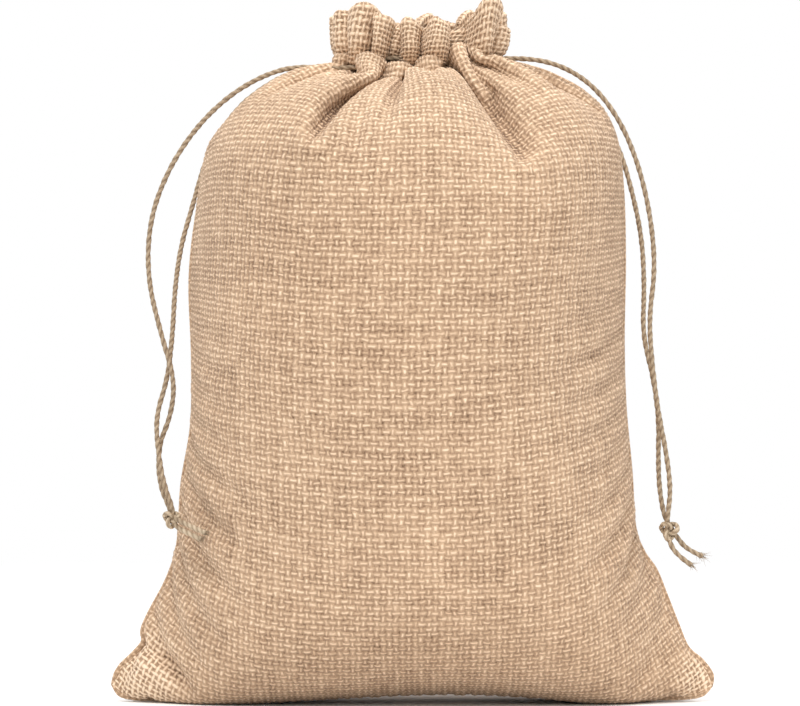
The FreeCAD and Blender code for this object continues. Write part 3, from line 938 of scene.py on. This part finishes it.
def make_frill(side, lobes, seed, word, material):
    """The gathered edge above the string: a doubled cloth in upright folds, turned over at its top."""
    rises = np.linspace(0.0, 1.0, FRILL_ROWS)
    width, outer = FLAT_WIDTH * FRILL_CLOTH, []
    for rise in rises:
        pinch = FRILL_PINCH * (1.0 - min(rise / FRILL_PINCHED, 1.0)) ** 1.5
        belly = FRILL_BELLY * math.sin(math.pi * rise)
        spread = FRILL_SPREAD * rise ** 1.2
        outer.append(gathered_path(frill_lobes(lobes, rise, NECK_LEVEL - 2.0), side,
                                   FRILL_LEFT + pinch - 0.5 * spread - belly,
                                   FRILL_RIGHT - pinch + 1.6 * spread + belly,
                                   NECK_HALF_DEPTH - 0.6 - pinch + 0.7 * spread + belly,
                                   width, FRILL_BULB, FRILL_DOME * rise))
    outer = np.array(outer)
    # the folds lean and ripple more towards their tops
    up, along = rises[:, None] ** 1.3, np.arange(SOLVER_COLUMNS + 1)[None, :]
    for axis, size, pitch in FRILL_RIPPLES:
        outer[..., axis] += size * up * np.sin(pitch * along + 2.4 * up + seed * (axis + 1))
    normal = outward(outer, side)
    rise = unit(outer[-1] - outer[-2])
    fold = [outer[-1] + rise * FRILL_FOLD * math.sin(turn) - normal[-1] * FRILL_FOLD * (1 - math.cos(turn))
            for turn in np.linspace(0.0, math.pi, 7)[1:-1]]
    inner = [outer[row] - normal[row] * 2 * FRILL_FOLD for row in range(FRILL_ROWS - 1, 3, -2)]
    coarse = np.concatenate([outer, np.array(fold), np.array(inner)])
    for _ in range(2):
        coarse[:, 1:-1] = (coarse[:, :-2] + 2 * coarse[:, 1:-1] + coarse[:, 2:]) / 4
    steps = np.linalg.norm(np.diff(coarse, axis=0), axis=2).mean(axis=1)
    reach = np.concatenate([[0.0], np.cumsum(steps)])
    threads = int(round(reach[-1] / FRILL_PITCH))
    spots = np.interp(np.linspace(0.0, reach[-1], threads * 2 + 1), reach, np.arange(len(reach)))
    rows, columns = threads * THREAD_STEPS + 1, int(width / FRILL_PITCH) * THREAD_STEPS + 1
    shape, weave, hollow = woven(rows_at(coarse, spots), rows, columns, side, seed, 200.0, 1.0)
    # painted shade: the frill's foot darkens over its lowest 8 mm, on top of the painted hollow shade
    foot = np.clip(1.0 - (shape[..., 2] - NECK_LEVEL + 2.0) / 8.0, 0.0, 1.0)
    hollow = np.maximum(hollow[..., 0], FOOT_SHADE * foot)
    frill = cloth_mesh(word + "_frill_cloth", shape, weave, hollow, side, material)
    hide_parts(word + "_frill")
    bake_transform(frill)


# ------ twine

def route_line(name, points):
    """Points in millimetres along a string: a NURBS spline with the route's points as its controls."""
    curve = bpy.data.curves.new(name, "CURVE")
    curve.dimensions = "3D"
    spline = curve.splines.new("NURBS")
    spline.points.add(len(points) - 1)
    for control, point in zip(spline.points, points):
        control.co = (*(value * MM for value in point), 1.0)
    spline.order_u = 3
    spline.use_endpoint_u = True
    curve.resolution_u = 24
    piece = link(name, curve)
    bpy.context.view_layer.update()
    mesh = bpy.data.meshes.new_from_object(piece)
    line = np.array([vertex.co for vertex in mesh.vertices], float) / MM
    bpy.data.objects.remove(piece)
    bpy.data.curves.remove(curve)
    bpy.data.meshes.remove(mesh)
    return line


def twine_mesh(name, line, material, diameter=TWINE, painted_light=0.0, tail_pale=0.0, seed=0):
    """Two plies twisted round each other along a line, as one closed skin with a groove between them."""
    length = reach_along(line)[-1]
    count = int(length / TWINE_STEP)
    line = evenly(line, count)
    tangent = unit(np.gradient(line, axis=0))
    side = unit(np.cross(tangent[0], (0.0, 1.0, 0.3)))
    random = np.random.default_rng(seed)
    slubs = 1.0 + 0.05 * np.sin(np.linspace(0, length * 0.9, count) + seed)
    slubs += random.normal(0.0, 0.012, count)
    turns = np.linspace(0.0, 2 * math.pi * length / TWIST_PITCH, count)
    turns += 0.5 * np.sin(np.linspace(0, length * 0.21, count) + seed)
    angle = np.linspace(0.0, 2 * math.pi, TWINE_SIDES, endpoint=False)
    # the knots' painted light, and the tails' own paler ends
    pale_tail_and_painted_light = painted_light + tail_pale * np.clip((np.linspace(0.0, 1.0, count) - TAIL_FROM) / 0.02, 0.0, 1.0)
    points = np.zeros((count, TWINE_SIDES, 3))
    coordinates = np.zeros((count, TWINE_SIDES, 3))
    for k in range(count):
        side = unit(side - tangent[k] * side.dot(tangent[k]))
        other = np.cross(tangent[k], side)
        # the outline of two touching round plies
        ply = np.abs(np.cos(angle - turns[k]))
        radius = diameter / 2 * slubs[k] * (1.0 - PLY_GROOVE + PLY_GROOVE * ply ** 0.7)
        ring = np.cos(angle)[:, None] * side + np.sin(angle)[:, None] * other
        points[k] = line[k] + radius[:, None] * ring
        coordinates[k, :, 0] = np.cos(angle - turns[k])
        coordinates[k, :, 1] = k * TWINE_STEP
        # the ply channel: painted shade in the groove between the plies, plus the knots' painted light and
        # the tails' paleness
        coordinates[k, :, 2] = ply + pale_tail_and_painted_light[k]
    piece = make_piece(name, points, tube_faces(count, TWINE_SIDES), material)
    add_attribute(piece, "twine", "vector", coordinates)
    return piece, line


def make_strings(material):
    """The four free legs with their tails, and the two knots."""
    for side in ("left", "right"):
        knot = make_knot(side, material)
        for number, face in enumerate(("front", "back")):
            name = f"{side}_{face}"
            line = route_line(name + "_route", STRINGS[name])
            string, path = twine_mesh(name + "_string", line, material, tail_pale=TAIL_PALE[side],
                                      seed=number + (3 if side == "left" else 7))
            fray = make_fray(name, path, material, number)
            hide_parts(name + "_leg", name + "_tail")
            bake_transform(string)
            [tuple(point * MM) for point in path]


def make_knot(side, material):
    """An overhand knot in the doubled string: two plies of twine wound through a trefoil."""
    centre = np.array(KNOTS[side])
    t = np.linspace(0.0, 2 * math.pi, 90)
    parts = []
    for offset, tilt in ((-0.55, 0.0), (0.55, 0.35)):
        loop = np.stack([np.sin(t + tilt) + 2 * np.sin(2 * t + tilt),
                         np.cos(t + tilt) - 2 * np.cos(2 * t + tilt), -np.sin(3 * t)], axis=1)
        loop = loop * (0.72, 0.66, 1.0) * KNOT_SIZE[side]
        loop = loop[:, [0, 2, 1]] * (1.0, 1.25, 1.15) + (0.0, offset, 0.0)
        piece, _ = twine_mesh(side + "_knot_turn", centre + loop, material, TWINE * 0.92, KNOT_PAINTED_LIGHT)
        parts.append(piece)
    knot = parts[0]
    with bpy.context.temp_override(active_object=knot, selected_editable_objects=parts):
        bpy.ops.object.join()
    knot.name = side + "_knot_twine"
    knot.data.name = knot.name
    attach(knot, side + "_string")
    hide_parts(side + "_knot")
    return knot


def make_fray(name, path, material, seed):
    """The loose fibres where a string is cut off."""
    random = np.random.default_rng(seed + 40)
    tip = path[-1]
    way = unit(path[-1] - path[-6])
    points, faces, coordinates = [], [], []
    for _ in range(FRAY_FIBRES):
        spread = random.normal(0.0, 0.38, 3)
        start = tip - way * random.uniform(0.2, 1.6) + random.normal(0.0, 0.38, 3)
        middle = start + (way + spread) * random.uniform(0.7, 1.3)
        end = middle + (way * 0.8 + spread * 1.6) * random.uniform(0.5, 1.4)
        width = random.uniform(0.05, 0.09)
        across = unit(np.cross(way, random.normal(0.0, 1.0, 3)))
        upward = np.cross(way, across)
        faces += tube_faces(3, 3, len(points))
        for spot, size in ((start, width), (middle, width * 0.8), (end, width * 0.3)):
            for angle in (0.0, 2 * math.pi / 3, 4 * math.pi / 3):
                points.append(spot + size * (math.cos(angle) * across + math.sin(angle) * upward))
                coordinates.append((random.uniform(-1, 1), random.uniform(0, 40), 0.8))
    piece = make_piece(name + "_fray", points, faces, material, smooth=False)
    add_attribute(piece, "twine", "vector", coordinates)
    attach(piece, name.split("_")[0] + "_string")
    return piece


def channel_route(side, height):
    """A string's run inside the casings: in at its own side, across the front, round, and back."""
    half = [(CHANNEL_MOUTH, 6.5), (18.0, CHANNEL_DEPTH - 0.6), (6.0, CHANNEL_DEPTH),
            (-7.0, CHANNEL_DEPTH - 0.1), (-18.0, CHANNEL_DEPTH - 1.6), (-24.6, 4.0)]
    return ([(side * x, -y, height) for x, y in half]
            + [(side * x, y, height) for x, y in reversed(half)])


def make_channel_strings(material):
    for word, side, height in (("left", -1, LEFT_CHANNEL), ("right", 1, RIGHT_CHANNEL)):
        line = route_line(word + "_channel_route", channel_route(side, height))
        string, _ = twine_mesh(word + "_channel_twine", line, material)
        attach(string, "root")
        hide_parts(word + "_string_in_casing")


# ------ making it all

make_stage()
cloth = jute_cloth()
twine = jute_twine()
make_strings(twine)
make_channel_strings(twine)
thread = sewing_thread()
make_panel(FRONT, FRONT_PLEATS, 1, "front", cloth, thread)
make_panel(BACK, BACK_PLEATS, 2, "back", cloth, thread)
make_welt("left_seam_welt", "left_side_seam", LEFT_SEAM, cloth)
make_welt("right_seam_welt", "right_side_seam", RIGHT_SEAM, cloth)
make_welt("bottom_seam_welt", "bottom_seam", BOTTOM_SEAM, cloth)
make_frill(FRONT, FRONT_FRILL, 11, "front", cloth)
make_frill(BACK, BACK_FRILL, 12, "back", cloth)
